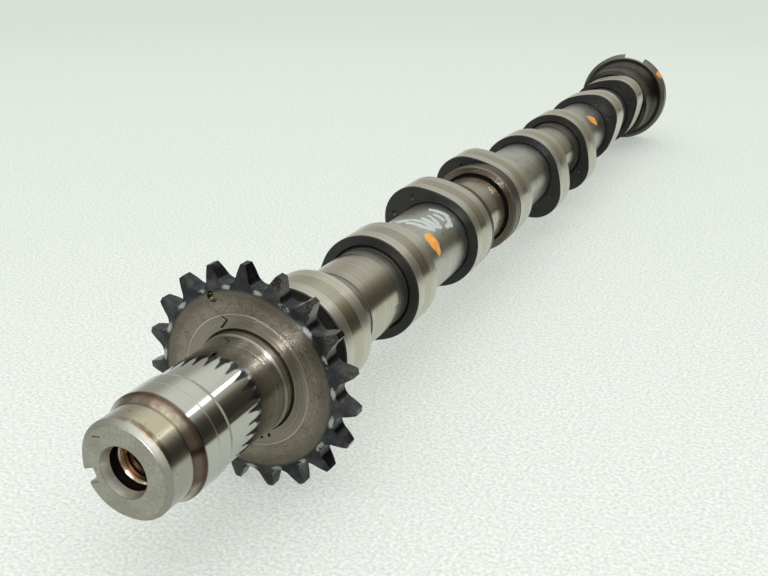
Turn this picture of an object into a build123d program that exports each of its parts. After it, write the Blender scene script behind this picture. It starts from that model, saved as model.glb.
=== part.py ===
"""Assembled camshaft of a four-cylinder, sixteen-valve engine.

A hollow shaft tube carries eight pressed-on cam lobes, two thrust rings and a chain sprocket.
A front end piece (pulley seat, oil seal land, front journal) and a rear drive flange close it.

Frame: millimetres, +Y along the axis from the nose to the drive flange, +Z up, +X to the right
seen from the nose. The origin is on the axis, midway between the two thrust rings.
Stations are distances along the axis from the nose face. Angles are measured about the axis
from straight up, clockwise seen from the nose.
"""
from build123d import *
import os
from math import acos, atan2, cos, hypot, pi, radians, sin, sqrt

# --- Engine layout -------------------------------------------------------------------------
CYLINDER_PITCH = 83.0        # between cylinders
VALVE_PITCH = 40.0           # between the two lobes of one cylinder
CYLINDER_1 = 85.2            # station of the first cylinder's centre
CYLINDERS = 4
LOBE_ANGLES = (226.0, 316.0, 136.0, 46.0)    # where each cylinder's lobes point: firing 1-3-4-2
OVERALL_LENGTH = 396.0

# --- Cam lobe: base circle, two flank arcs and a nose arc ------------------------------------
LOBE_WIDTH = 12.6
BASE_R = 14.75
LIFT = 3.55
NOSE_R = 10.6
FLANK_R = 33.6
LOBE_EDGE = 0.25             # chamfer round the running surface
LOBE_BORE_CHAMFER = 0.4
DIMPLE_R = 1.0               # two press marks in each front face, beside the cam's nose
DIMPLE_DEPTH = 0.8
DIMPLE_FROM_AXIS = 14.2
DIMPLE_SPREAD = 17.0         # degrees each side of the nose

# --- Shaft tube ------------------------------------------------------------------------------
TUBE_R = 11.75               # as drawn, where the lobes are pressed on
TUBE_BORE_R = 8.0
TUBE_START = 37.6
TUBE_END = 366.7
TUBE_EDGE = 0.35
JOURNAL_R = 11.5             # ground bearing journals
JOURNAL_WIDTH = 15.5
JOURNAL_SHIFT = 0.8          # the journal's centre lies this far behind the cylinder's centre
NECK_R = 11.3                # turned necks between a journal and the lobes beside it
NECK_STEP = 0.3
THRUST_GROOVE_R = 11.2       # grinding reliefs at both ends of the thrust journal
THRUST_GROOVE = 0.7

# --- Thrust rings, either side of the second cylinder's journal -------------------------------
THRUST_CYLINDER = 1
THRUST_RING_R = 14.65
FRONT_RING_WIDTH = 2.4
REAR_RING_WIDTH = 5.0
RING_EDGE = 0.4

# --- Front end piece -------------------------------------------------------------------------
SEAT_R = 10.5                # pulley seat
SEAT_CHAMFER = 1.1
SEAT_END = 7.0
SEAL_R = 11.75               # oil seal land behind a lead-in cone
SEAL_START = 9.5
SEAL_END = 17.3
FRONT_JOURNAL_R = 11.25
FRONT_JOURNAL_START = 18.5   # and from there to the tube's end
SPIGOT_END = 58.7            # the part pressed into the tube
SPIGOT_CHAMFER = 1.0
PILOT_MOUTH_R = 5.45         # tapered counterbore in front of the thread
PILOT_R = 4.95
PILOT_END = 2.15
RUNOUT_R = 5.7
RUNOUT_END = 4.45
THREAD_CORE_R = 4.2          # M10 tapping size
THREAD_LEAD_R = 4.9
THREAD_START = 5.15
THREAD_END = 31.0
DRILL_POINT = 2.5
KEY_SLOT_WIDTH = 3.2
KEY_SLOT_FLOOR_R = 7.0
KEY_SLOT_DEPTH = 4.8
KEY_SLOT_ANGLE = 250.0

# --- Chain sprocket: bush chain tooth form ----------------------------------------------------
TEETH = 19
CHAIN_PITCH = 8.0
BUSH_D = 5.0
TIP_R = 26.35
SEAT_ARC_R = 0.505 * BUSH_D
SEAT_ARC_ANGLE = 140.0 - 90.0 / TEETH
FLANK_ARC_R = 0.008 * BUSH_D * (TEETH**2 + 180)
SPROCKET_FACE = 40.35        # station of the web's front face
SPROCKET_WIDTH = 4.6
BEVEL_START_R = 20.2
TIP_WIDTH = 2.5
BEVEL_BULGE = 0.22           # how far the bevel bows out from a straight cone
HUB_R = 15.35
HUB_RAISE = 0.25             # machined ring round the bore, proud of the web
HUB_LENGTH = 7.0             # behind the web
HUB_EDGE = 0.6
SPROCKET_BORE_CHAMFER = 0.45
TIMING_MARK_R = 1.3          # blind hole beside one tooth; a tooth points straight up
TIMING_MARK_DEPTH = 1.0
TIMING_MARK_FROM_AXIS = 19.7
TIMING_MARK_ANGLE = -22.5

# --- Rear drive flange -----------------------------------------------------------------------
FLANGE_R = 21.0
FLANGE_FACE = 389.2          # station of the flange's front face
FLANGE_CHAMFER = 1.4
FLANGE_REAR_CHAMFER = 0.6
FLANGE_HUB_R = 16.8
FLANGE_HUB_END = 382.6
FLANGE_HUB_CHAMFER = 1.6
FLANGE_WEB_R = 18.6
FLANGE_SPIGOT_START = 342.7
DRIVE_SLOT_WIDTH = 10.5
DRIVE_SLOT_DEPTH = 6.3
DRIVE_SLOT_ANGLE = 10.0
CENTRE_R = 2.6               # lathe centre in the slot's floor
CENTRE_DEPTH = 4.5

# --- Worked out from the above ----------------------------------------------------------------
CENTRES = [CYLINDER_1 + CYLINDER_PITCH * n for n in range(CYLINDERS)]
LOBE_OFFSETS = (-VALVE_PITCH / 2, VALVE_PITCH / 2)
INNER_GAP = VALVE_PITCH - LOBE_WIDTH                  # between the two lobes of one cylinder
THRUST_START = CENTRES[THRUST_CYLINDER] - INNER_GAP / 2 + FRONT_RING_WIDTH
THRUST_END = CENTRES[THRUST_CYLINDER] + INNER_GAP / 2 - REAR_RING_WIDTH
ORIGIN = (THRUST_START + THRUST_END) / 2              # station of the frame's origin
PITCH_R = CHAIN_PITCH / 2 / sin(pi / TEETH)
TOOTH_STEP = 360.0 / TEETH
OVERSHOOT = 5.0                                       # how far cutting tools stand clear


def turned(points):
    """A solid turned about the axis, from (radius, station) points in order."""
    outline = Polyline(*[(r, station - ORIGIN) for r, station in points], close=True)
    return revolve(make_face(outline), Axis.Y)


def cross_plane(station):
    """The plane across the axis at a station, drawn on as seen from the nose: X right, Z up."""
    return Plane(origin=(0, station - ORIGIN, 0), x_dir=(1, 0, 0), z_dir=(0, -1, 0))


def along(sketch, start, end):
    """A cross-section drawn as seen from the nose, extruded from one station to another."""
    return extrude(cross_plane(start) * sketch, amount=start - end)


def pointing(shape, angle):
    """A sketch drawn about +Z, turned clockwise seen from the nose."""
    return Rot(0, 0, -angle) * shape


def far_meeting(centre_1, r_1, centre_2, r_2, side):
    """Where two circles cross; side picks one of the two crossings."""
    dx, dy = centre_2[0] - centre_1[0], centre_2[1] - centre_1[1]
    reach = hypot(dx, dy)
    bearing = atan2(dy, dx)
    half = acos((r_1**2 + reach**2 - r_2**2) / (2 * r_1 * reach))
    turn = bearing + side * half
    return centre_1[0] + r_1 * cos(turn), centre_1[1] + r_1 * sin(turn)


def arc_about(centre, start, end):
    """The short arc between two points about a centre."""
    radius = hypot(start[0] - centre[0], start[1] - centre[1])
    mx = (start[0] + end[0]) / 2 - centre[0]
    my = (start[1] + end[1]) / 2 - centre[1]
    stretch = radius / hypot(mx, my)
    return ThreePointArc(start, (centre[0] + mx * stretch, centre[1] + my * stretch), end)


# --- Cam lobes --------------------------------------------------------------------------------
def cam_outline(shrink=0.0):
    """The cam seen end on, its nose pointing up: four arcs that run into each other."""
    base, nose, flank = BASE_R - shrink, NOSE_R - shrink, FLANK_R - shrink
    nose_height = BASE_R + LIFT - NOSE_R
    to_base, to_nose = FLANK_R - BASE_R, FLANK_R - NOSE_R
    height = (nose_height**2 + to_base**2 - to_nose**2) / (2 * nose_height)
    across = sqrt(to_base**2 - height**2)
    sides = []
    for side in (1, -1):
        centre = (-side * across, height)
        on_base = (side * base * across / to_base, -base * height / to_base)
        on_nose = (side * nose * across / to_nose,
                   nose_height + nose * (nose_height - height) / to_nose)
        sides.append((centre, on_base, on_nose))
    (right, base_right, nose_right), (left, base_left, nose_left) = sides
    top = (0, nose_height + nose)
    edges = (ThreePointArc(base_left, (0, -base), base_right)
             + arc_about(right, base_right, nose_right)
             + ThreePointArc(nose_right, top, nose_left)
             + arc_about(left, nose_left, base_left))
    return make_face(edges)


def cam_lobe(centre, angle):
    """One lobe, pressed on the tube: chamfered running edges, two press marks in front."""
    front, rear = centre - LOBE_WIDTH / 2, centre + LOBE_WIDTH / 2
    small = cross_plane(front) * pointing(cam_outline(LOBE_EDGE), angle)
    full = cross_plane(front + LOBE_EDGE) * pointing(cam_outline(), angle)
    front_edge = loft([small, full])
    small = cross_plane(rear) * pointing(cam_outline(LOBE_EDGE), angle)
    full = cross_plane(rear - LOBE_EDGE) * pointing(cam_outline(), angle)
    rear_edge = loft([full, small])
    middle = along(pointing(cam_outline(), angle), front + LOBE_EDGE, rear - LOBE_EDGE)
    mouth = TUBE_R + LOBE_BORE_CHAMFER
    bore = turned([(0, front), (mouth, front), (TUBE_R, front + LOBE_BORE_CHAMFER),
                   (TUBE_R, rear - LOBE_BORE_CHAMFER), (mouth, rear), (0, rear)])
    marks = pointing(Sketch() + [Rot(0, 0, turn) * Pos(0, DIMPLE_FROM_AXIS) * Circle(DIMPLE_R)
                                 for turn in (-DIMPLE_SPREAD, DIMPLE_SPREAD)], angle)
    return front_edge + middle + rear_edge - bore - along(marks, front, front + DIMPLE_DEPTH)


# --- Shaft tube -------------------------------------------------------------------------------
def shaft_tube():
    """The tube, its outside drawn along the axis from journal to journal."""
    profile = [(TUBE_BORE_R, TUBE_START), (TUBE_R - TUBE_EDGE, TUBE_START),
               (TUBE_R, TUBE_START + TUBE_EDGE)]
    for number, centre in enumerate(CENTRES):
        start, end = centre - INNER_GAP / 2, centre + INNER_GAP / 2
        if number == THRUST_CYLINDER:
            profile += [(TUBE_R, THRUST_START), (THRUST_GROOVE_R, THRUST_START),
                        (THRUST_GROOVE_R, THRUST_START + THRUST_GROOVE),
                        (JOURNAL_R, THRUST_START + THRUST_GROOVE + NECK_STEP),
                        (JOURNAL_R, THRUST_END - THRUST_GROOVE - NECK_STEP),
                        (THRUST_GROOVE_R, THRUST_END - THRUST_GROOVE),
                        (THRUST_GROOVE_R, THRUST_END), (TUBE_R, THRUST_END)]
        else:
            ground = centre + JOURNAL_SHIFT - JOURNAL_WIDTH / 2
            profile += [(TUBE_R, start), (NECK_R, start + NECK_STEP),
                        (NECK_R, ground), (JOURNAL_R, ground + NECK_STEP),
                        (JOURNAL_R, ground + JOURNAL_WIDTH - NECK_STEP),
                        (NECK_R, ground + JOURNAL_WIDTH), (NECK_R, end - NECK_STEP),
                        (TUBE_R, end)]
    profile += [(TUBE_R, TUBE_END - TUBE_EDGE), (TUBE_R - TUBE_EDGE, TUBE_END),
                (TUBE_BORE_R, TUBE_END)]
    return turned(profile)


# --- Thrust rings -----------------------------------------------------------------------------
def thrust_ring(start, end, running_face):
    """A plain ring; its edges are chamfered on the side that the bearing runs against."""
    outer, inner = THRUST_RING_R - RING_EDGE, TUBE_R + RING_EDGE
    if running_face == start:
        return turned([(TUBE_R, start + RING_EDGE), (inner, start), (outer, start),
                       (THRUST_RING_R, start + RING_EDGE), (THRUST_RING_R, end), (TUBE_R, end)])
    return turned([(TUBE_R, start), (THRUST_RING_R, start), (THRUST_RING_R, end - RING_EDGE),
                   (outer, end), (inner, end), (TUBE_R, end - RING_EDGE)])


# --- Front end piece --------------------------------------------------------------------------
def front_end_piece():
    """Pulley seat, seal land, front journal and the spigot that closes the tube."""
    body = turned([
        (PILOT_MOUTH_R, 0), (SEAT_R - SEAT_CHAMFER, 0), (SEAT_R, SEAT_CHAMFER),
        (SEAT_R, SEAT_END), (SEAL_R, SEAL_START), (SEAL_R, SEAL_END),
        (FRONT_JOURNAL_R, FRONT_JOURNAL_START), (FRONT_JOURNAL_R, TUBE_START),
        (TUBE_BORE_R, TUBE_START),
        (TUBE_BORE_R, SPIGOT_END - SPIGOT_CHAMFER), (TUBE_BORE_R - SPIGOT_CHAMFER, SPIGOT_END),
        (0, SPIGOT_END), (0, THREAD_END + DRILL_POINT), (THREAD_CORE_R, THREAD_END),
        (THREAD_CORE_R, THREAD_START), (THREAD_LEAD_R, RUNOUT_END), (RUNOUT_R, RUNOUT_END),
        (RUNOUT_R, PILOT_END), (PILOT_R, PILOT_END)])
    slot_height = SEAT_R - KEY_SLOT_FLOOR_R + OVERSHOOT
    slot = Pos(0, KEY_SLOT_FLOOR_R + slot_height / 2) * Rectangle(KEY_SLOT_WIDTH, slot_height)
    return body - along(pointing(slot, KEY_SLOT_ANGLE), -OVERSHOOT, KEY_SLOT_DEPTH)


# --- Chain sprocket ---------------------------------------------------------------------------
def tooth_gap():
    """The gap between two teeth, about +Z: a seat for the bush between two convex flanks."""
    bush = (0, PITCH_R)
    half = radians(SEAT_ARC_ANGLE / 2)
    clear_r = TIP_R + OVERSHOOT
    ends = []
    for side in (1, -1):
        away = (side * sin(half), -cos(half))
        foot = (bush[0] + SEAT_ARC_R * away[0], bush[1] + SEAT_ARC_R * away[1])
        reach = SEAT_ARC_R + FLANK_ARC_R
        flank = (bush[0] + reach * away[0], bush[1] + reach * away[1])
        tip = far_meeting((0, 0), clear_r, flank, FLANK_ARC_R, side)
        ends.append((foot, flank, tip))
    (foot_r, flank_r, tip_r), (foot_l, flank_l, tip_l) = ends
    edges = (ThreePointArc(foot_l, (0, PITCH_R - SEAT_ARC_R), foot_r)
             + arc_about(flank_r, foot_r, tip_r) + Line(tip_r, tip_l)
             + arc_about(flank_l, tip_l, foot_l))
    return make_face(edges)


def chain_sprocket():
    """A toothed web, bevelled on both sides of the teeth, on a hub pressed on the tube."""
    face, rear = SPROCKET_FACE, SPROCKET_FACE + SPROCKET_WIDTH
    middle = (face + rear) / 2
    outline = Circle(TIP_R)
    gap = tooth_gap()
    for tooth in range(TEETH):
        outline -= Rot(0, 0, (tooth + 0.5) * TOOTH_STEP) * gap
    teeth = along(outline, face, rear)
    half_r = (BEVEL_START_R + TIP_R) / 2
    half_width = (SPROCKET_WIDTH + TIP_WIDTH) / 4 + BEVEL_BULGE
    bevel = [(BEVEL_START_R, SPROCKET_WIDTH / 2), (half_r, half_width), (TIP_R, TIP_WIDTH / 2)]
    front = [(r, middle - ORIGIN - width) for r, width in bevel]
    back = [(r, middle - ORIGIN + width) for r, width in bevel]
    section = (ThreePointArc(*front) + Line(front[2], back[2]) + ThreePointArc(*back[::-1])
               + Polyline(back[0], (0, back[0][1]), (0, front[0][1]), front[0]))
    web = teeth & revolve(make_face(section), Axis.Y)
    hub_start, hub_end = face - HUB_RAISE, rear + HUB_LENGTH
    hub = turned([(0, hub_start), (HUB_R, hub_start), (HUB_R, hub_end - HUB_EDGE),
                  (HUB_R - HUB_EDGE, hub_end), (0, hub_end)])
    mouth = TUBE_R + SPROCKET_BORE_CHAMFER
    bore = turned([(0, hub_start), (mouth, hub_start), (TUBE_R, hub_start + SPROCKET_BORE_CHAMFER),
                   (TUBE_R, hub_end - SPROCKET_BORE_CHAMFER), (mouth, hub_end), (0, hub_end)])
    mark = pointing(Pos(0, TIMING_MARK_FROM_AXIS) * Circle(TIMING_MARK_R), TIMING_MARK_ANGLE)
    return web + hub - bore - along(mark, hub_start, face + TIMING_MARK_DEPTH)


# --- Rear drive flange ------------------------------------------------------------------------
def drive_flange():
    """A turned flange with a slot across its rear face, its spigot pressed into the tube."""
    floor = OVERALL_LENGTH - DRIVE_SLOT_DEPTH
    body = turned([
        (0, FLANGE_SPIGOT_START), (TUBE_BORE_R - SPIGOT_CHAMFER, FLANGE_SPIGOT_START),
        (TUBE_BORE_R, FLANGE_SPIGOT_START + SPIGOT_CHAMFER), (TUBE_BORE_R, TUBE_END),
        (FLANGE_HUB_R - FLANGE_HUB_CHAMFER, TUBE_END),
        (FLANGE_HUB_R, TUBE_END + FLANGE_HUB_CHAMFER), (FLANGE_HUB_R, FLANGE_HUB_END),
        (FLANGE_WEB_R, FLANGE_FACE), (FLANGE_R - FLANGE_CHAMFER, FLANGE_FACE),
        (FLANGE_R, FLANGE_FACE + FLANGE_CHAMFER),
        (FLANGE_R, OVERALL_LENGTH - FLANGE_REAR_CHAMFER),
        (FLANGE_R - FLANGE_REAR_CHAMFER, OVERALL_LENGTH), (CENTRE_R, OVERALL_LENGTH),
        (CENTRE_R, floor), (0, floor - CENTRE_DEPTH)])
    slot = pointing(Rectangle(DRIVE_SLOT_WIDTH, 2 * (FLANGE_R + OVERSHOOT)), DRIVE_SLOT_ANGLE)
    return body - along(slot, floor, OVERALL_LENGTH + OVERSHOOT)


# --- The camshaft, one STEP file for each piece ----------------------------------------------
def all_pieces():
    """Every piece by name, in the order along the axis."""
    pieces = {"front_end_piece": front_end_piece(), "shaft_tube": shaft_tube(),
              "chain_sprocket": chain_sprocket()}
    for cylinder, centre in enumerate(CENTRES):
        for valve, offset in enumerate(LOBE_OFFSETS):
            name = f"cam_lobe_{2 * cylinder + valve + 1}"
            pieces[name] = cam_lobe(centre + offset, LOBE_ANGLES[cylinder])
    pieces["thrust_ring_front"] = thrust_ring(
        THRUST_START - FRONT_RING_WIDTH, THRUST_START, running_face=THRUST_START)
    pieces["thrust_ring_rear"] = thrust_ring(
        THRUST_END, THRUST_END + REAR_RING_WIDTH, running_face=THRUST_END)
    pieces["drive_flange"] = drive_flange()
    return pieces


os.makedirs("parts", exist_ok=True)
for piece_name, piece in all_pieces().items():
    export_step(piece, f"parts/{piece_name}.step")
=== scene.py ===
"""An assembled camshaft lying on a pale floor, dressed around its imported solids.

Metres, in the frame of the solids: +Y along the shaft from its threaded nose to its drive flange,
+Z up, the origin midway between the two thrust rings. Finishes are drawn in millimetres.
"""
import bpy
import math
from mathutils import Matrix, Vector


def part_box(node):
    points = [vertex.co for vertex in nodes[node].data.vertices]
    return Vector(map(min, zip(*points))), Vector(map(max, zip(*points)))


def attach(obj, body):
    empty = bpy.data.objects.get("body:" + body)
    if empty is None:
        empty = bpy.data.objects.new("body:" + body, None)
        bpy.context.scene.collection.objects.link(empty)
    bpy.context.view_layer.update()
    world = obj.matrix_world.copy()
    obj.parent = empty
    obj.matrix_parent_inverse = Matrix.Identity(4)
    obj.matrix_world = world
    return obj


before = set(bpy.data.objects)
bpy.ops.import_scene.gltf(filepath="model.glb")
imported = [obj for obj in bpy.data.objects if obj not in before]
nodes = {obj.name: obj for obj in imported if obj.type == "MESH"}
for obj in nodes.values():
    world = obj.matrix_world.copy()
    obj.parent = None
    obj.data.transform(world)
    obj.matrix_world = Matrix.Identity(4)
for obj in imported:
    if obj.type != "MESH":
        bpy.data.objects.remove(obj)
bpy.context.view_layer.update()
bpy.ops.object.select_all(action="DESELECT")

# --- Camera ---------------------------------------------------------------------------------
# It stands over the nose, a little to the right, and looks down along the shaft. Its focal
# length is in pixels of an image as wide as the one named here.
CAMERA_AT = (0.1081, -0.2826, 0.0981)
CAMERA_RIGHT = Vector((0.9000, 0.4358, 0.0045))
CAMERA_AHEAD = Vector((-0.4020, 0.8343, -0.3774))
FOCAL_PIXELS = 976.3
IMAGE_WIDTH = 768
NEAREST_SEEN = 0.01
camera = bpy.data.objects.new("camera", bpy.data.cameras.new("camera"))
bpy.context.scene.collection.objects.link(camera)
right = CAMERA_RIGHT.normalized()
ahead = (CAMERA_AHEAD - right * right.dot(CAMERA_AHEAD)).normalized()
camera.matrix_world = Matrix.Translation(CAMERA_AT) @ Matrix(
    (right, right.cross(ahead), -ahead)).transposed().to_4x4()
camera.data.lens = camera.data.sensor_width * FOCAL_PIXELS / IMAGE_WIDTH
camera.data.clip_start = NEAREST_SEEN
bpy.context.scene.camera = camera

# --- Floor ----------------------------------------------------------------------------------
# A pale sheet of packing foam, its colour painted lighter near the shaft and darker further off as
# a painted pool of light.
# The shaft rests on two teeth and on its flange, so the floor rises a little towards the rear. In
# reflections the sheet ends at the dark bench beside it.
FLOOR_SIZE = 8.0
LIGHT_POOL_MIDDLE = (0.1, -0.2, 0.0)
# Painted light: the foam's colour by distance from the middle of a painted pool of light.
FLOOR_LIGHT_POOL_STOPS = ((0.10, (0.87, 0.91, 0.865)), (0.40, (0.79, 0.84, 0.79)),
               (0.80, (0.74, 0.80, 0.74)), (1.0, (0.70, 0.765, 0.70)))
FLOOR_GLOW = 0.5
BEADS_PER_METRE = 1150
BEAD_SHADES = (0.83, 1.20)
BEAD_DEPTH = 0.0008
SHEET_EDGE = (0.115, 0.165)
BENCH_BROWN = (0.10, 0.085, 0.065, 1)
TEETH_BEHIND_FRONT = 0.0025
sprocket_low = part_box("chain_sprocket")[0]
flange_low, flange_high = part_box("drive_flange")
teeth_y = sprocket_low.y + TEETH_BEHIND_FRONT
slope = math.atan2(flange_low.z - sprocket_low.z, flange_high.y - teeth_y)


def wire(tree, kind, inputs=(), **settings):
    """A new shader node whose inputs take other nodes' outputs or plain values."""
    made = tree.nodes.new("ShaderNode" + kind)
    for name, value in settings.items():
        setattr(made, name, value)
    for key, source in dict(inputs).items():
        if isinstance(source, bpy.types.NodeSocket):
            tree.links.new(source, made.inputs[key])
        else:
            made.inputs[key].default_value = source
    return made


def maths(tree, operation, a, b=0.0, c=0.0):
    """One maths node on outputs or numbers."""
    return wire(tree, "Math", {0: a, 1: b, 2: c}, operation=operation).outputs["Value"]


def vectors(tree, operation, inputs, output="Vector"):
    """One vector node on outputs or values."""
    return wire(tree, "VectorMath", inputs, operation=operation).outputs[output]


def stretch(tree, value, low, high, first=0.0, last=1.0, way="LINEAR"):
    """A value mapped from one range to another and held at its ends."""
    return wire(tree, "MapRange", {"Value": value, "From Min": low, "From Max": high,
                                   "To Min": first, "To Max": last},
                interpolation_type=way).outputs["Result"]


def ramp(tree, value, stops):
    """A colour that follows a value through a list of (position, (red, green, blue))."""
    made = wire(tree, "ValToRGB", {"Fac": value})
    elements = made.color_ramp.elements
    for element, (position, colour) in zip(elements, (stops[0], stops[-1])):
        element.position, element.color = position, (*colour, 1)
    for position, colour in stops[1:-1]:
        elements.new(position).color = (*colour, 1)
    return made.outputs["Color"]


def finish_named(name, **values):
    """A new material, with constants set on its principled shader's own sockets."""
    made = bpy.data.materials.new(name)
    made.use_nodes = True
    shader = made.node_tree.nodes["Principled BSDF"]
    for key, value in values.items():
        shader.inputs[key].default_value = value
    return made, made.node_tree, shader


bpy.ops.mesh.primitive_plane_add(size=FLOOR_SIZE, location=(0, teeth_y, sprocket_low.z),
                                 rotation=(slope, 0, 0))
floor = bpy.context.object
floor.name = "floor"
foam, tree, shader = finish_named("foam_floor", Roughness=0.7)
place = wire(tree, "TexCoord").outputs["Object"]
# Painted light: the foam is painted darker the further it lies from the pool's middle.
away = vectors(tree, "DISTANCE", {0: place, 1: LIGHT_POOL_MIDDLE}, "Value")
beads = wire(tree, "TexNoise", {"Vector": place, "Scale": BEADS_PER_METRE, "Detail": 2,
                                "Roughness": 0.6}).outputs["Fac"]
speckled = vectors(tree, "SCALE", {0: ramp(tree, away, FLOOR_LIGHT_POOL_STOPS),
                                   "Scale": stretch(tree, beads, 0.30, 0.75, *BEAD_SHADES)})
tree.links.new(speckled, shader.inputs["Base Color"])
bump = wire(tree, "Bump", {"Height": beads, "Strength": 0.45, "Distance": BEAD_DEPTH})
tree.links.new(bump.outputs["Normal"], shader.inputs["Normal"])
rays = wire(tree, "LightPath").outputs
glow = wire(tree, "Emission", {"Color": speckled, "Strength": 1.0})
share = maths(tree, "MULTIPLY",
              maths(tree, "MAXIMUM", rays["Is Camera Ray"], rays["Is Glossy Ray"]), FLOOR_GLOW)
sheet = wire(tree, "MixShader", {0: share, 1: shader.outputs["BSDF"],
                                 2: glow.outputs["Emission"]})
across = wire(tree, "SeparateXYZ", {"Vector": place}).outputs["X"]
past_sheet = maths(tree, "MULTIPLY", stretch(tree, across, *SHEET_EDGE, way="SMOOTHSTEP"),
                   rays["Is Glossy Ray"])
bench = wire(tree, "Emission", {"Color": BENCH_BROWN, "Strength": 1.0})
ground = wire(tree, "MixShader", {0: past_sheet, 1: sheet.outputs["Shader"],
                                  2: bench.outputs["Emission"]})
tree.links.new(ground.outputs["Shader"], tree.nodes["Material Output"].inputs["Surface"])
floor.data.materials.append(foam)

# --- Light ----------------------------------------------------------------------------------
# A soft white ceiling over a plain room that grows dark and brown to the right, a lamp overhead,
# one at the ceiling's far edge, and a row of three before the nose that only steel mirrors.
CEILING_STOPS = ((0.46, (0.55, 0.57, 0.54)), (0.56, (0.69, 0.71, 0.68)),
                 (0.64, (0.99, 1.01, 0.97)), (0.72, (1.13, 1.15, 1.11)))
CEILING_FOOT = (0.42, 0.56)
BACKDROP = (0.68, 0.74, 0.68, 1)
DARK_TOWARDS = (0.762, 0.640, 0.10)
ROOM_STOPS = ((0.70, (0.55, 0.54, 0.50)), (0.80, (0.44, 0.42, 0.37)), (0.89, (0.27, 0.24, 0.19)),
              (0.93, (0.17, 0.152, 0.122)), (0.965, (0.08, 0.074, 0.065)),
              (1.0, (0.05, 0.047, 0.043)))
LAMPS = (("overhead", (0.05, -0.25, 1.0), (1.0, 1.0), 2.2),
         ("ceiling_lamp", (0.52, 0.85, 0.86), (0.28, 0.09), 0.29))
LAMP_ROW = (((-0.45, -1.15, 0.85), 1.8), ((0.10, -1.15, 0.96), 1.8), ((0.53, -1.15, 0.81), 13.0))
ROW_LAMP_SIZE = (0.26, 0.26)
ROW_LAMP_COLOUR = (0.85, 0.88, 1.0)
nose_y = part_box("front_end_piece")[0].y


def mixed(tree, factor, a, b):
    """Two colours, each an output or plain, mixed by a factor."""
    return wire(tree, "Mix", {"Factor": factor, "A": a, "B": b},
                data_type="RGBA").outputs["Result"]


def softbox(name, at, towards, size, power):
    """A rectangular lamp that faces a point."""
    light = bpy.data.lights.new(name, "AREA")
    light.shape = "RECTANGLE"
    light.size, light.size_y = size
    light.energy = power
    lamp = bpy.data.objects.new(name, light)
    bpy.context.scene.collection.objects.link(lamp)
    lamp.location = at
    lamp.rotation_euler = (Vector(towards) - Vector(at)).to_track_quat("-Z", "Y").to_euler()
    return lamp


world = bpy.data.worlds.new("studio")
bpy.context.scene.world = world
world.use_nodes = True
sky = world.node_tree
direction = wire(sky, "TexCoord").outputs["Generated"]
height = wire(sky, "SeparateXYZ", {"Vector": direction}).outputs["Z"]
facing = vectors(sky, "DOT_PRODUCT", {0: direction, 1: Vector(DARK_TOWARDS).normalized()}, "Value")
room = mixed(sky, stretch(sky, height, *CEILING_FOOT, way="SMOOTHSTEP"),
             ramp(sky, facing, ROOM_STOPS), ramp(sky, height, CEILING_STOPS))
seen = mixed(sky, wire(sky, "LightPath").outputs["Is Camera Ray"], room, BACKDROP)
sky.links.new(seen, sky.nodes["Background"].inputs["Color"])
for name, at, size, power in LAMPS:
    softbox(name, at, (0, 0, 0), size, power)
for number, (offset, power) in enumerate(LAMP_ROW):
    at = (offset[0], offset[1] + nose_y, offset[2])
    lamp = softbox(f"row_lamp_{number}", at, (0, nose_y, 0), ROW_LAMP_SIZE, power)
    lamp.visible_diffuse = False
    lamp.data.color = ROW_LAMP_COLOUR

# --- Front end piece ------------------------------------------------------------------------
# The nose, turned and ground from steel bar. Its pulley seat is stained, the cone behind it keeps
# dark oil varnish and is painted darker round its right side as painted shade, the seal land and
# the front journal are polished, and rust shows in its bore.
SEAT_STEEL = ((0.38, 0.378, 0.33, 1), (0.34, 0.33, 0.27, 1))
FACE_STEEL = ((0.360, 0.352, 0.298, 1), (0.300, 0.288, 0.238, 1))
RIM_STEEL = (0.27, 0.262, 0.225, 1)
GRIME = (0.20, 0.185, 0.145, 1)
POLISHED_STEEL = (0.455, 0.458, 0.415, 1)
TURNED_STEEL = (0.62, 0.61, 0.55, 1)
GOLDEN_FILM = (0.47, 0.43, 0.29, 1)
RUST_STAIN = (0.13, 0.065, 0.025, 1)
FLECK_BROWN = (0.10, 0.08, 0.06, 1)
SCRATCH_DARK = (0.08, 0.07, 0.06, 1)
CONE_STEEL = (0.42, 0.37, 0.295, 1)
THIN_VARNISH = (0.20, 0.155, 0.115, 1)
# Dark brown: varnish on the cone's left, painted shade on its right side.
VARNISH_AND_PAINTED_SHADE = (0.085, 0.062, 0.048, 1)
BURNT_OIL = (0.075, 0.045, 0.030, 1)
BORE_STEEL = (0.76, 0.74, 0.65, 1)
GROOVE_SHADE = (0.045, 0.032, 0.024, 1)
LEAD_IN_STEEL = (0.24, 0.215, 0.18, 1)
BORE_RUST = (0.16, 0.08, 0.035, 1)
# Bands along it: start, end and softness, in mm behind its face.
FACE = (-1, 0.25, 0.2)
RIM = (0.1, 1.2, 0.2)
CONE = (6.9, 9.65, 0.3)
CONE_FOOT = (6.75, 7.25, 0.5)
CONE_TOP = (8.75, 9.75, 0.9)
SEAL_LAND = (9.6, 17.4, 0.1)
LIP_TRACK = (13.6, 13.95, 0.1)
SHOULDER = (17.35, 18.45, 0.1)
FRONT_JOURNAL = (18.45, 60, 0.1)
COUNTERBORE = (0.1, 60, 0.1)
RUN_OUT_GROOVE = (2.2, 60, 0.1)
LEAD_IN = (4.3, 5.3, 0.1)
STAINED = (0.9, 2.2, 0.8)
GOLDEN = (0.9, 8.0, 1.5)
FLECKED = (1.8, 6.6, 0.6)
# Bands of radius in mm, then bands round the axis in degrees.
COUNTERBORE_R = (-1, 6.2, 0.2)
LEAD_IN_R = (4.60, 5.0, 0.06)
THREADED_R = (-1, 4.60, 0.1)
STAIN_TURN = (-8, 76, 24)
GOLDEN_TURN = (-5, 48, 36)
# Round the cone's right side, where it is painted dark as painted shade.
PAINTED_SHADE_TURN = (46, 112, 14)
FAINT_VARNISH_TURN = (-40, 3, 16)
SCRATCH_ENDS = ((-6.3, 6.0), (-4.7, 6.3))


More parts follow.
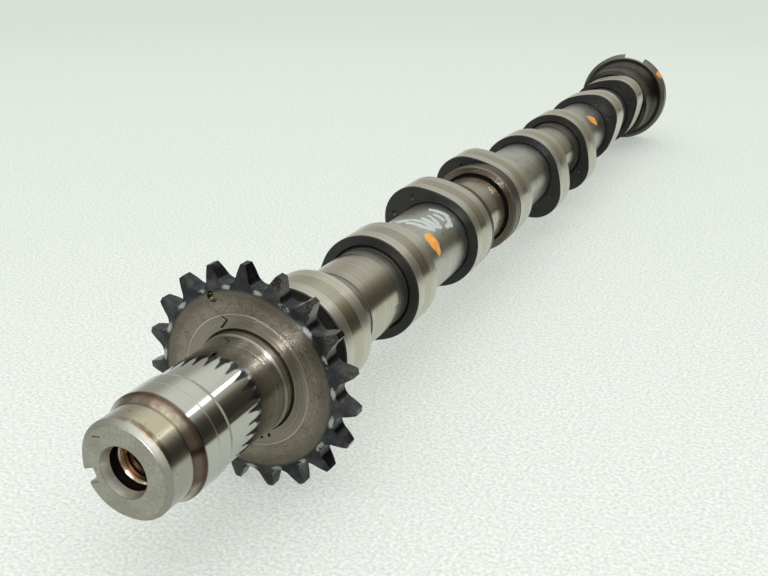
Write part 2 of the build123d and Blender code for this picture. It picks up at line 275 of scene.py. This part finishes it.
def profile_place(tree):
    """Places on a turned piece: x, y, z in the frame and its distance from the axis, in mm."""
    place = wire(tree, "TexCoord").outputs["Object"]
    scaled = vectors(tree, "SCALE", {0: place, "Scale": 1000})
    parts = wire(tree, "SeparateXYZ", {"Vector": scaled}).outputs
    reach = vectors(tree, "LENGTH", {0: vectors(tree, "MULTIPLY", {0: scaled, 1: (1, 0, 1)})},
                    "Value")
    return parts["X"], parts["Y"], parts["Z"], reach


def product(tree, *values):
    """Outputs or numbers multiplied together."""
    result = values[0]
    for value in values[1:]:
        result = maths(tree, "MULTIPLY", result, value)
    return result


def any_of(tree, *masks):
    """The strongest of several masks."""
    strongest = masks[0]
    for mask in masks[1:]:
        strongest = maths(tree, "MAXIMUM", strongest, mask)
    return strongest


def span(tree, value, low, high, soft):
    """1 between two values and 0 outside them, with soft edges."""
    rise = stretch(tree, value, low - soft / 2, low + soft / 2, way="SMOOTHSTEP")
    fall = stretch(tree, value, high - soft / 2, high + soft / 2, 1.0, 0.0, way="SMOOTHSTEP")
    return product(tree, rise, fall)


def round_axis(tree, x, z, whole):
    """How far round the axis, from straight up towards +X, where a whole turn counts whole."""
    return maths(tree, "MULTIPLY", maths(tree, "ARCTAN2", x, z), whole / math.tau)


def marks(tree, x, y, z, reach, slow, fast, detail=3.0):
    """Noise drawn out along the tool's path: slow round the axis, fast along the profile."""
    profile = maths(tree, "ADD", y, reach)
    joined = wire(tree, "CombineXYZ", {"X": maths(tree, "MULTIPLY", x, slow),
                                       "Y": maths(tree, "MULTIPLY", profile, fast),
                                       "Z": maths(tree, "MULTIPLY", z, slow)})
    return wire(tree, "TexNoise", {"Vector": joined.outputs["Vector"], "Scale": 1.0,
                                   "Detail": detail}).outputs["Fac"]


def blotches(tree, scale, detail=4.0, offset=0.0):
    """Even noise in the frame, scale in features per mm."""
    place = wire(tree, "TexCoord").outputs["Object"]
    moved = vectors(tree, "ADD", {0: place, 1: (offset, offset, offset)})
    return wire(tree, "TexNoise", {"Vector": moved, "Scale": scale * 1000, "Detail": detail,
                                   "Roughness": 0.6}).outputs["Fac"]


def varied(tree, noise, colours, low=0.35, high=0.65):
    """A colour that goes from the first of two to the second as noise goes from low to high."""
    return mixed(tree, stretch(tree, noise, low, high), *colours)


def uneven(tree, rough, noise, least=0.85):
    """A roughness that noise takes from least to 1.2 times what it was."""
    return maths(tree, "MULTIPLY", rough, stretch(tree, noise, 0.3, 0.7, least, 1.2))


def layered(tree, base, *layers):
    """A number that starts at base and moves to each layer's value where its mask is 1."""
    value = base
    for mask, target in layers:
        if isinstance(value, (int, float)):
            value = maths(tree, "MULTIPLY_ADD", mask, target - value, value)
        else:
            value = maths(tree, "ADD", maths(tree, "MULTIPLY", mask, target),
                          maths(tree, "MULTIPLY", value, maths(tree, "SUBTRACT", 1.0, mask)))
    return value


def coloured(tree, base, *layers):
    """A colour that starts at base and turns to each layer's colour where its mask is 1."""
    for mask, colour in layers:
        base = mixed(tree, mask, base, colour)
    return base


def raised(tree, shader, height, strength, distance):
    """Small relief from a height, distance in mm."""
    bump = wire(tree, "Bump", {"Height": height, "Strength": strength,
                               "Distance": distance / 1000})
    tree.links.new(bump.outputs["Normal"], shader.inputs["Normal"])


def stroke(tree, across, up, start, end, half_width, soft):
    """1 within a brush's half width of a straight stroke between two places, in mm."""
    place = wire(tree, "CombineXYZ", {"X": across, "Y": up}).outputs["Vector"]
    begin, run = Vector((*start, 0)), Vector((*end, 0)) - Vector((*start, 0))
    off = vectors(tree, "SUBTRACT", {0: place, 1: begin})
    share = vectors(tree, "DOT_PRODUCT", {0: off, 1: run / run.length_squared}, "Value")
    nearest = vectors(tree, "SCALE", {0: run, "Scale": stretch(tree, share, 0.0, 1.0)})
    apart = vectors(tree, "DISTANCE", {0: off, 1: nearest}, "Value")
    return stretch(tree, apart, half_width + soft, half_width - soft)


def put_on(node_name, material):
    """A solid's own finish."""
    slots = nodes[node_name].data.materials
    slots.clear()
    slots.append(material)


finish, tree, shader = finish_named("nose_ground_steel", Metallic=1)
x, y, z, reach = profile_place(tree)
along = maths(tree, "SUBTRACT", y, nose_y * 1000)
turn = round_axis(tree, x, z, 360)
streaks = marks(tree, x, y, z, reach, slow=0.05, fast=9)
patches = blotches(tree, 0.22)
specks = blotches(tree, 0.9, detail=2.0)
face = span(tree, along, *FACE)
rim = span(tree, along, *RIM)
cone = span(tree, along, *CONE)
cone_edges = any_of(tree, product(tree, span(tree, along, *CONE_FOOT), 0.6),
                    span(tree, along, *CONE_TOP))
land = span(tree, along, *SEAL_LAND)
lip_track = span(tree, along, *LIP_TRACK)
shoulder = span(tree, along, *SHOULDER)
journal = span(tree, along, *FRONT_JOURNAL)
bore = product(tree, span(tree, reach, *COUNTERBORE_R), span(tree, along, *COUNTERBORE))
groove = product(tree, bore, span(tree, along, *RUN_OUT_GROOVE))
lead_in = product(tree, span(tree, reach, *LEAD_IN_R), span(tree, along, *LEAD_IN))
threaded = product(tree, groove, span(tree, reach, *THREADED_R))
stain = product(tree, span(tree, along, *STAINED), span(tree, turn, *STAIN_TURN),
                stretch(tree, patches, 0.36, 0.56), 0.85)
golden = product(tree, span(tree, along, *GOLDEN), span(tree, turn, *GOLDEN_TURN),
                 stretch(tree, patches, 0.30, 0.60, 0.4, 1.0))
flecks = product(tree, span(tree, along, *FLECKED), stretch(tree, specks, 0.66, 0.72))
grime = product(tree, face, stretch(tree, blotches(tree, 1.6), 0.48, 0.68), 0.6)
scratch = product(tree, stroke(tree, x, z, *SCRATCH_ENDS, half_width=0.16, soft=0.10), face)
thin_varnish = product(tree, cone, stretch(tree, patches, 0.38, 0.60, 1.0, 0.0))
# Painted shade: dark brown round the cone's right side, where it mirrors the dark room; the
# fainter brown on its left is varnish.
varnish_and_painted_shade = product(tree, cone, any_of(
    tree, product(tree, span(tree, turn, *PAINTED_SHADE_TURN), 0.85),
    product(tree, span(tree, turn, *FAINT_VARNISH_TURN), 0.45)))
colour = coloured(
    tree, varied(tree, patches, SEAT_STEEL), (face, varied(tree, patches, FACE_STEEL)),
    (product(tree, rim, 0.6), RIM_STEEL), (grime, GRIME),
    (any_of(tree, land, journal), POLISHED_STEEL), (shoulder, TURNED_STEEL),
    (golden, GOLDEN_FILM), (stain, RUST_STAIN), (flecks, FLECK_BROWN), (scratch, SCRATCH_DARK),
    (cone, CONE_STEEL), (thin_varnish, THIN_VARNISH), (varnish_and_painted_shade, VARNISH_AND_PAINTED_SHADE),
    (product(tree, cone_edges, 0.9), BURNT_OIL), (bore, BORE_STEEL), (groove, GROOVE_SHADE),
    (lead_in, LEAD_IN_STEEL), (threaded, BORE_RUST))
tree.links.new(colour, shader.inputs["Base Color"])
rough = layered(tree, 0.21, (face, 0.34), (rim, 0.52), (cone, 0.20), (land, 0.11),
                (lip_track, 0.30), (shoulder, 0.55), (journal, 0.065), (bore, 0.40),
                (groove, 0.45), (lead_in, 0.25))
tree.links.new(uneven(tree, rough, patches), shader.inputs["Roughness"])
turning = layered(tree, 0.5, (land, 0.15), (lip_track, 2.0), (journal, 0.05), (face, 0.6))
relief = maths(tree, "MULTIPLY_ADD", scratch, -2.0, product(tree, streaks, turning))
raised(tree, shader, relief, strength=0.3, distance=0.02)
put_on("front_end_piece", finish)

# --- Nose thread ----------------------------------------------------------------------------
# The coarse thread that the pulley's centre bolt screws into. It is tapped in the end piece and
# has a brown film of rust, so it is drawn here as the thread's own turns inside the bore.
THREAD_ROOT = 4.22 / 1000
THREAD_CREST = 3.80 / 1000
THREAD_PITCH = 1.5 / 1000
THREAD_TURNS = 15
THREAD_SIDES = 48
THREAD_FIRST = 4.95 / 1000
THREAD_FOOT = 1.15 / 1000
THREAD_CORNERS = ((THREAD_ROOT, 0, -THREAD_FOOT / 2), (THREAD_CREST, 0, 0),
                  (THREAD_ROOT, 0, THREAD_FOOT / 2))
THREAD_RUST = ((0.19, 0.11, 0.055, 1), (0.07, 0.036, 0.016, 1))
ROOT_RUST = (0.07, 0.03, 0.012, 1)
ROOT_R = (4.08, 5, 0.1)
DEPTH_SHADE = (0.025, 0.013, 0.008, 1)
DARKENS_DOWN = (5.4, 8.6)
bpy.ops.mesh.primitive_circle_add(vertices=3, radius=THREAD_PITCH / 3, fill_type="NOTHING",
                                  location=(0, 0, 0), rotation=(math.pi / 2, 0, 0))
thread = bpy.context.object
thread.name = "nose_thread"
bpy.ops.object.transform_apply(location=True, rotation=True, scale=True)
for vertex, corner in zip(thread.data.vertices, THREAD_CORNERS):
    vertex.co = corner
turned = thread.modifiers.new("turns", "SCREW")
turned.axis = "Z"
turned.steps = turned.render_steps = THREAD_SIDES
turned.iterations = THREAD_TURNS
turned.screw_offset = THREAD_PITCH
turned.use_merge_vertices = False
bpy.ops.object.modifier_apply(modifier="turns")
bpy.ops.object.mode_set(mode="EDIT")
bpy.ops.mesh.select_all(action="DESELECT")
bpy.ops.mesh.select_non_manifold()
bpy.ops.mesh.fill_holes(sides=3)
bpy.ops.mesh.select_all(action="SELECT")
bpy.ops.mesh.normals_make_consistent(inside=False)
bpy.ops.object.mode_set(mode="OBJECT")
thread.rotation_euler = (-math.pi / 2, 0, 0)
thread.location = (0, nose_y + THREAD_FIRST, 0)
bpy.ops.object.transform_apply(location=True, rotation=True, scale=True)
bpy.ops.object.shade_smooth_by_angle(angle=math.radians(30))
finish, tree, shader = finish_named("rusty_thread", Metallic=1)
x, y, z, reach = profile_place(tree)
patches = blotches(tree, 0.9)
down_bore = maths(tree, "SUBTRACT", y, nose_y * 1000)
colour = coloured(tree, varied(tree, patches, THREAD_RUST),
                  (span(tree, reach, *ROOT_R), ROOT_RUST),
                  (stretch(tree, down_bore, *DARKENS_DOWN), DEPTH_SHADE))
tree.links.new(colour, shader.inputs["Base Color"])
tree.links.new(stretch(tree, patches, 0.3, 0.7, 0.22, 0.42), shader.inputs["Roughness"])
raised(tree, shader, patches, strength=0.4, distance=0.08)
thread.data.materials.append(finish)
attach(thread, "root")
bpy.ops.object.select_all(action="DESELECT")

# --- Shaft tube -----------------------------------------------------------------------------
# Drawn steel tube. Its bearing journals are ground bright; beside them are dull turned necks.
# Loose brush strokes of white paint and two dabs of orange mark it for the fitter.
# Journals have a middle and half a length, other bands a start and an end, in mm along Y.
JOURNALS = ((0.0, 9.2), (-80.9, 7.75), (85.1, 7.75), (168.1, 7.75))
NECK_REACH = 14.6
JOURNAL_STEP = (-0.05, 0.35)
FRONT_STRIP = (-129.5, -126.5)
FRONT_END = (-129.5, -129.0)
SHADED_STEPS = ((-10.6, -9.2), (9.2, 10.6), (-68.3, -66.0), (97.7, 100.0), (180.7, 183.0))
TUBE_R = 11.75
# Each stroke has a start, an end and half a width; places are mm round the tube and along it.
WHITE_STROKES = (((-2.9, -44.6), (-0.6, -43.0), 0.60), ((-1.6, -45.8), (0.8, -42.0), 0.65),
                 ((1.0, -45.0), (4.4, -43.4), 0.85), ((1.6, -41.6), (5.4, -40.2), 0.85),
                 ((4.6, -44.0), (7.6, -41.0), 0.75), ((3.0, -38.8), (7.6, -38.0), 0.90),
                 ((6.2, -41.4), (8.2, -36.8), 0.65), ((3.6, -35.4), (7.0, -36.4), 0.70),
                 ((2.0, -30.6), (6.4, -29.0), 0.95), ((6.2, -29.2), (9.4, -31.4), 0.95),
                 ((9.0, -31.2), (9.2, -34.0), 0.75), ((4.2, -32.8), (6.8, -32.4), 0.70))
ORANGE_DABS = (((9.3, -45.8), (11.0, -45.5), 2.2), ((10.8, -45.5), (13.4, -45.3), 1.2),
               ((9.2, 126.4), (10.8, 128.8), 2.0))
TUBE_STEEL = ((0.53, 0.535, 0.475, 1), (0.46, 0.46, 0.40, 1))
MOTTLED_STEEL = (0.33, 0.32, 0.27, 1)
JOURNAL_STEEL = ((0.55, 0.53, 0.45, 1), (0.40, 0.36, 0.275, 1))
NECK_STEEL = (0.34, 0.32, 0.27, 1)
NEAR_NECK_STEEL = (0.30, 0.285, 0.235, 1)
STEP_DARK = (0.10, 0.092, 0.075, 1)
STRIP_STEEL = (0.42, 0.405, 0.35, 1)
END_DARK = (0.17, 0.16, 0.135, 1)
STEP_SHADE = (0.020, 0.018, 0.015, 1)
WHITE_PAINT = (0.56, 0.62, 0.62, 1)
ORANGE_PAINT = ((0.95, 0.33, 0.04, 1), (1.0, 0.50, 0.09, 1))


def bands(tree, value, edges, soft):
    """1 in any of several ranges."""
    return any_of(tree, *(span(tree, value, low, high, soft) for low, high in edges))


def ragged(tree, value, amount, scale, offset):
    """A coordinate shaken by noise, so that what is drawn with it has uneven edges."""
    noise = blotches(tree, scale, 2.0, offset)
    return maths(tree, "ADD", value, maths(tree, "MULTIPLY_ADD", noise, 2 * amount, -amount))


finish, tree, shader = finish_named("drawn_tube_steel")
x, y, z, reach = profile_place(tree)
journal = bands(tree, y, [(middle - half, middle + half) for middle, half in JOURNALS], 0.15)
neck = bands(tree, y, [(middle, middle + NECK_REACH) for middle, half in JOURNALS], 0.15)
near_neck = bands(tree, y, [(middle - NECK_REACH, middle) for middle, half in JOURNALS], 0.15)
step = bands(tree, y, [(middle - half + JOURNAL_STEP[0], middle - half + JOURNAL_STEP[1])
                       for middle, half in JOURNALS], 0.1)
strip = span(tree, y, *FRONT_STRIP, 0.1)
end_face = span(tree, y, *FRONT_END, 0.1)
shaded = bands(tree, y, SHADED_STEPS, 0.1)
streaks = marks(tree, x, y, z, reach, slow=0.04, fast=7)
rings = marks(tree, x, y, z, reach, slow=0.01, fast=2.6, detail=1.0)
patches = blotches(tree, 0.16)
mottle = blotches(tree, 0.6)
arc = ragged(tree, round_axis(tree, x, z, math.tau * TUBE_R), 0.45, 0.9, 0.3)
station = ragged(tree, y, 0.45, 0.9, 0.7)
dry = stretch(tree, blotches(tree, 2.5, 2.0, 0.5), 0.30, 0.42)
white = product(tree, any_of(tree, *(stroke(tree, arc, station, *each, soft=0.12)
                                     for each in WHITE_STROKES)), dry)
orange = any_of(tree, *(stroke(tree, arc, station, *each, soft=0.25) for each in ORANGE_DABS))
paint = any_of(tree, white, orange)
orange_paint = varied(tree, blotches(tree, 0.7, 2.0, 0.9), ORANGE_PAINT, 0.40, 0.62)
colour = coloured(
    tree, varied(tree, patches, TUBE_STEEL), (stretch(tree, mottle, 0.54, 0.72), MOTTLED_STEEL),
    (neck, NECK_STEEL), (near_neck, NEAR_NECK_STEEL),
    (journal, varied(tree, rings, JOURNAL_STEEL)), (step, STEP_DARK), (strip, STRIP_STEEL),
    (end_face, END_DARK), (shaded, STEP_SHADE), (white, WHITE_PAINT), (orange, orange_paint))
tree.links.new(colour, shader.inputs["Base Color"])
tree.links.new(maths(tree, "SUBTRACT", 1.0, paint), shader.inputs["Metallic"])
rough = uneven(tree, layered(tree, 0.31, (neck, 0.38), (journal, 0.20), (step, 0.5),
                             (strip, 0.26), (shaded, 0.6)), streaks)
tree.links.new(layered(tree, rough, (paint, 0.45)), shader.inputs["Roughness"])
relief = maths(tree, "ADD", product(tree, streaks, layered(tree, 0.04, (neck, 2.0),
                                                           (journal, 0.25), (strip, 1.5))),
               product(tree, mottle, layered(tree, 0.15, (journal, 0.0))))
relief = maths(tree, "MULTIPLY_ADD", paint, 2.5, relief)
raised(tree, shader, relief, strength=0.4, distance=0.02)
put_on("shaft_tube", finish)

# --- Cam lobes ------------------------------------------------------------------------------
# Hardened steel rings pressed on the tube. Their sides and edges keep the black scale of
# hardening; their running surface is ground, and the follower has worn a dull band round it.
LOBE_BORE_R = (-1, 12.4, 0.1)
WORN_BAND = (-1, 2.3, 0.4)
RUNNING_LIP = (5.5, 7, 0.3)
GROUND_STEEL = ((0.60, 0.59, 0.505, 1), (0.50, 0.485, 0.40, 1))
WORN_STEEL = (0.45, 0.415, 0.32, 1)
LIP_STEEL = (0.62, 0.61, 0.54, 1)
BLACK_SCALE = ((0.0065, 0.006, 0.005, 1), (0.013, 0.012, 0.0095, 1))


def lobe_finish(name, middle_y):
    """Ground round the outside, black on the sides."""
    finish, tree, shader = finish_named(name)
    x, y, z, reach = profile_place(tree)
    tilt = wire(tree, "SeparateXYZ", {"Vector": wire(tree, "TexCoord").outputs["Normal"]})
    side = any_of(tree, stretch(tree, maths(tree, "ABSOLUTE", tilt.outputs["Y"]), 0.30, 0.42),
                  span(tree, reach, *LOBE_BORE_R))
    across = maths(tree, "ABSOLUTE", maths(tree, "SUBTRACT", y, middle_y))
    band = span(tree, across, *WORN_BAND)
    lip = span(tree, across, *RUNNING_LIP)
    streaks = marks(tree, x, y, z, reach, slow=0.035, fast=8)
    rings = marks(tree, x, y, z, reach, slow=0.01, fast=1.7, detail=1.0)
    patches = blotches(tree, 0.25)
    colour = coloured(
        tree, varied(tree, rings, GROUND_STEEL), (product(tree, band, 0.85), WORN_STEEL),
        (product(tree, lip, 0.5), LIP_STEEL), (side, varied(tree, patches, BLACK_SCALE, 0.4, 0.7)))
    tree.links.new(colour, shader.inputs["Base Color"])
    tree.links.new(maths(tree, "SUBTRACT", 1.0, side), shader.inputs["Metallic"])
    rough = uneven(tree, layered(tree, 0.30, (band, 0.19), (side, 0.37)), streaks)
    tree.links.new(rough, shader.inputs["Roughness"])
    grinding = product(tree, streaks, layered(tree, 1.3, (band, 0.3), (side, 0.0)))
    relief = maths(tree, "ADD", grinding, product(tree, patches, side))
    raised(tree, shader, relief, strength=0.35, distance=0.03)
    return finish


for number in range(1, 9):
    name = f"cam_lobe_{number}"
    low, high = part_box(name)
    put_on(name, lobe_finish(f"ground_lobe_{number}", (low.y + high.y) * 500))

# --- Thrust rings ---------------------------------------------------------------------------
# Steel collars either side of the thrust journal, which hold the shaft endways. The bearing
# has polished their faces brown. Where they meet the tube they are painted near black, painted
# shade in the crease.
COLLAR_RIM_R = (14.4, 16, 0.2)
# Radii of the painted shade round the bore, where the collar meets the tube.
SHADED_CREASE_R = (-1, 12.3, 0.1)
COLLAR_STEEL = ((0.21, 0.172, 0.14, 1), (0.14, 0.113, 0.09, 1))
COLLAR_RIM = (0.115, 0.10, 0.08, 1)
CREASE_SHADE_COLOUR = (0.02, 0.016, 0.013, 1)


def tooled(tree, shader, x, z, reach, amount):
    """Tool marks too fine to draw: the surface leans out from the axis by amount, or in."""
    outward = wire(tree, "CombineXYZ", {"X": maths(tree, "DIVIDE", x, reach),
                                        "Z": maths(tree, "DIVIDE", z, reach)}).outputs["Vector"]
    plain = shader.inputs["Normal"].links[0].from_socket
    leant = vectors(tree, "MULTIPLY_ADD", {0: outward, 1: amount, 2: plain})
    tree.links.new(vectors(tree, "NORMALIZE", {0: leant}), shader.inputs["Normal"])


finish, tree, shader = finish_named("thrust_ring_steel", Metallic=1)
x, y, z, reach = profile_place(tree)
streaks = marks(tree, x, y, z, reach, slow=0.05, fast=8)
grooves = marks(tree, x, y, z, reach, slow=0.01, fast=18, detail=1.0)
rim = span(tree, reach, *COLLAR_RIM_R)
# Painted shade: near black round the bore, in the crease where the collar meets the tube.
shaded_crease = span(tree, reach, *SHADED_CREASE_R)
colour = coloured(tree, varied(tree, streaks, COLLAR_STEEL), (rim, COLLAR_RIM),
                  (shaded_crease, CREASE_SHADE_COLOUR))
tree.links.new(colour, shader.inputs["Base Color"])
tree.links.new(layered(tree, 0.24, (rim, 0.36), (shaded_crease, 0.6)), shader.inputs["Roughness"])
raised(tree, shader, streaks, strength=0.5, distance=0.03)
tooled(tree, shader, x, z, reach, product(tree, maths(tree, "SUBTRACT", grooves, 0.5), 3.0))
put_on("thrust_ring_front", finish)
put_on("thrust_ring_rear", finish)

# --- Chain sprocket -------------------------------------------------------------------------
# The steel timing sprocket, pressed on the tube. Its web is turned and blasted, a ring round the
# bore is machined, and its teeth are black from induction hardening. The chain has worn each
# gap's foot bright, and the hub's face holds a punched index number and two punch marks.
TEETH = 19
FRONT_DEPTH = (-1, 0.6, 0.1)
HUB_R = (-1, 15.30, 0.05)
HUB_LINE_R = (15.22, 15.48, 0.08)
BURNT_EDGE = 20.4
BURNT_R = (BURNT_EDGE - 2.0, 30, 2.6)
TIP_R = (23.6, 30, 1.6)
GAP_FOOT = 21.4
FOOT_WIDE = 1.6
FOOT_DEEP = 0.62
INDEX_AT = Vector((-4.95, 12.75))
INDEX_TURN = -0.35
INDEX_STROKES = (((-0.75, 1.15), (0.75, 1.15)), ((0.75, 1.15), (0.0, -1.35)))
PUNCH_MARKS = (((3.35, -12.92), 0.42), ((5.35, -12.0), 0.42))
WEB_STEEL = ((0.262, 0.235, 0.188, 1), (0.200, 0.177, 0.142, 1))
GRAIN_DARK = (0.11, 0.092, 0.070, 1)
BURNT_BROWN = (0.10, 0.082, 0.062, 1)
MACHINED_STEEL = ((0.270, 0.241, 0.198, 1), (0.212, 0.187, 0.152, 1))
HUB_LINE_STEEL = (0.46, 0.43, 0.36, 1)
HARDENED_BLACK = ((0.034, 0.036, 0.041, 1), (0.090, 0.090, 0.088, 1))
TIP_BROWN = (0.17, 0.13, 0.085, 1)
CHAIN_WORN_STEEL = (0.38, 0.39, 0.38, 1)
STAMPED_DARK = (0.012, 0.010, 0.009, 1)
finish, tree, shader = finish_named("sprocket_steel", Metallic=1)
x, y, z, reach = profile_place(tree)
grain = blotches(tree, 2.2, detail=2.0)
patches = blotches(tree, 0.3)
broad = blotches(tree, 0.045, 1.0, 0.23)
rings = marks(tree, x, y, z, reach, slow=0.02, fast=6)
grooves = marks(tree, x, y, z, reach, slow=0.01, fast=24, detail=1.0)
teeth = stretch(tree, maths(tree, "MULTIPLY_ADD", patches, 0.5, reach),
                BURNT_EDGE - 0.05, BURNT_EDGE + 0.75)
burnt = span(tree, reach, *BURNT_R)
hub = span(tree, reach, *HUB_R)
line = span(tree, reach, *HUB_LINE_R)
front = span(tree, maths(tree, "SUBTRACT", y, sprocket_low.y * 1000), *FRONT_DEPTH)
gap = maths(tree, "FRACT", maths(tree, "ADD", round_axis(tree, x, z, TEETH), 100.5))
beside = maths(tree, "MINIMUM", gap, maths(tree, "SUBTRACT", 1.0, gap))
beside = maths(tree, "MULTIPLY", beside, math.tau * GAP_FOOT / TEETH / FOOT_WIDE)
above = maths(tree, "DIVIDE", maths(tree, "SUBTRACT", reach, GAP_FOOT), FOOT_DEEP)
oval = wire(tree, "CombineXYZ", {"X": ragged(tree, beside, 0.25, 0.6, 0.2),
                                 "Y": ragged(tree, above, 0.35, 0.7, 0.4)}).outputs["Vector"]
worn = product(tree, stretch(tree, vectors(tree, "LENGTH", {0: oval}, "Value"), 1.10, 0.55),
               stretch(tree, patches, 0.40, 0.50), front)
tips = product(tree, span(tree, reach, *TIP_R), stretch(tree, grain, 0.50, 0.64),
               stretch(tree, broad, 0.50, 0.60), 0.8)
turn_x, turn_z = math.cos(INDEX_TURN), math.sin(INDEX_TURN)
off_x = maths(tree, "SUBTRACT", x, INDEX_AT.x)
off_z = maths(tree, "SUBTRACT", z, INDEX_AT.y)
index_x = maths(tree, "ADD", product(tree, off_x, turn_x), product(tree, off_z, turn_z))
index_z = maths(tree, "SUBTRACT", product(tree, off_z, turn_x), product(tree, off_x, turn_z))
stamped = product(tree, any_of(
    tree, *(stroke(tree, index_x, index_z, *each, half_width=0.19, soft=0.10)
            for each in INDEX_STROKES),
    *(stroke(tree, x, z, at, (at[0] + 0.01, at[1]), size, soft=0.12)
      for at, size in PUNCH_MARKS)), front)
colour = coloured(
    tree, varied(tree, patches, WEB_STEEL), (stretch(tree, grain, 0.52, 0.72), GRAIN_DARK),
    (product(tree, burnt, 0.6), BURNT_BROWN),
    (hub, varied(tree, rings, MACHINED_STEEL, 0.3, 0.7)), (line, HUB_LINE_STEEL),
    (teeth, varied(tree, patches, HARDENED_BLACK, 0.45, 0.7)), (tips, TIP_BROWN),
    (worn, CHAIN_WORN_STEEL), (stamped, STAMPED_DARK))
tree.links.new(colour, shader.inputs["Base Color"])
rough = layered(tree, 0.25, (hub, 0.22), (teeth, 0.22), (worn, 0.34), (stamped, 0.6))
tree.links.new(uneven(tree, rough, patches, 0.8), shader.inputs["Roughness"])
relief = maths(tree, "ADD",
               product(tree, grain, layered(tree, 0.32, (hub, 0.08), (teeth, 0.4))),
               product(tree, rings, layered(tree, 0.6, (teeth, 0.0))))
relief = maths(tree, "ADD", relief, product(tree, patches, teeth, 1.2))
relief = maths(tree, "MULTIPLY_ADD", stamped, -4.0, relief)
raised(tree, shader, relief, strength=1.0, distance=0.045)
lean = product(tree, maths(tree, "SUBTRACT", grooves, 0.5),
               layered(tree, 2.8, (hub, 3.4), (teeth, 0.0)), front)
tooled(tree, shader, x, z, reach, lean)
put_on("chain_sprocket", finish)

# --- Drive flange ---------------------------------------------------------------------------
# The rear end piece, turned from steel and left dark but for its rim, with a slot that drives a
# pump. A dab of orange paint on the rim shows that it was checked.
FLANGE_RIM_R = (19.5, 23, 0.3)
REAR_FACE = (228.9, 240, 0.1)
DARK_STEEL = ((0.030, 0.028, 0.022, 1), (0.052, 0.048, 0.038, 1))
BRIGHT_STEEL = (0.135, 0.13, 0.102, 1)
DAB_ENDS = ((16.6, 13.6), (18.6, 11.4))
DAB_ORANGE = (0.95, 0.34, 0.04, 1)
finish, tree, shader = finish_named("flange_steel")
x, y, z, reach = profile_place(tree)
streaks = marks(tree, x, y, z, reach, slow=0.04, fast=5)
patches = blotches(tree, 0.12)
rim = span(tree, reach, *FLANGE_RIM_R)
bright = any_of(tree, rim, span(tree, y, *REAR_FACE))
dab = stroke(tree, ragged(tree, x, 0.5, 0.6, 0.1), ragged(tree, z, 0.5, 0.6, 0.6), *DAB_ENDS,
             half_width=0.9, soft=0.3)
orange = product(tree, dab, rim)
colour = coloured(tree, varied(tree, patches, DARK_STEEL), (bright, BRIGHT_STEEL),
                  (orange, DAB_ORANGE))
tree.links.new(colour, shader.inputs["Base Color"])
tree.links.new(maths(tree, "SUBTRACT", 1.0, orange), shader.inputs["Metallic"])
rough = uneven(tree, layered(tree, 0.33, (bright, 0.38)), streaks, 0.8)
tree.links.new(layered(tree, rough, (orange, 0.45)), shader.inputs["Roughness"])
raised(tree, shader, streaks, strength=0.3, distance=0.03)
put_on("drive_flange", finish)

bpy.context.scene.view_settings.view_transform = "Standard"
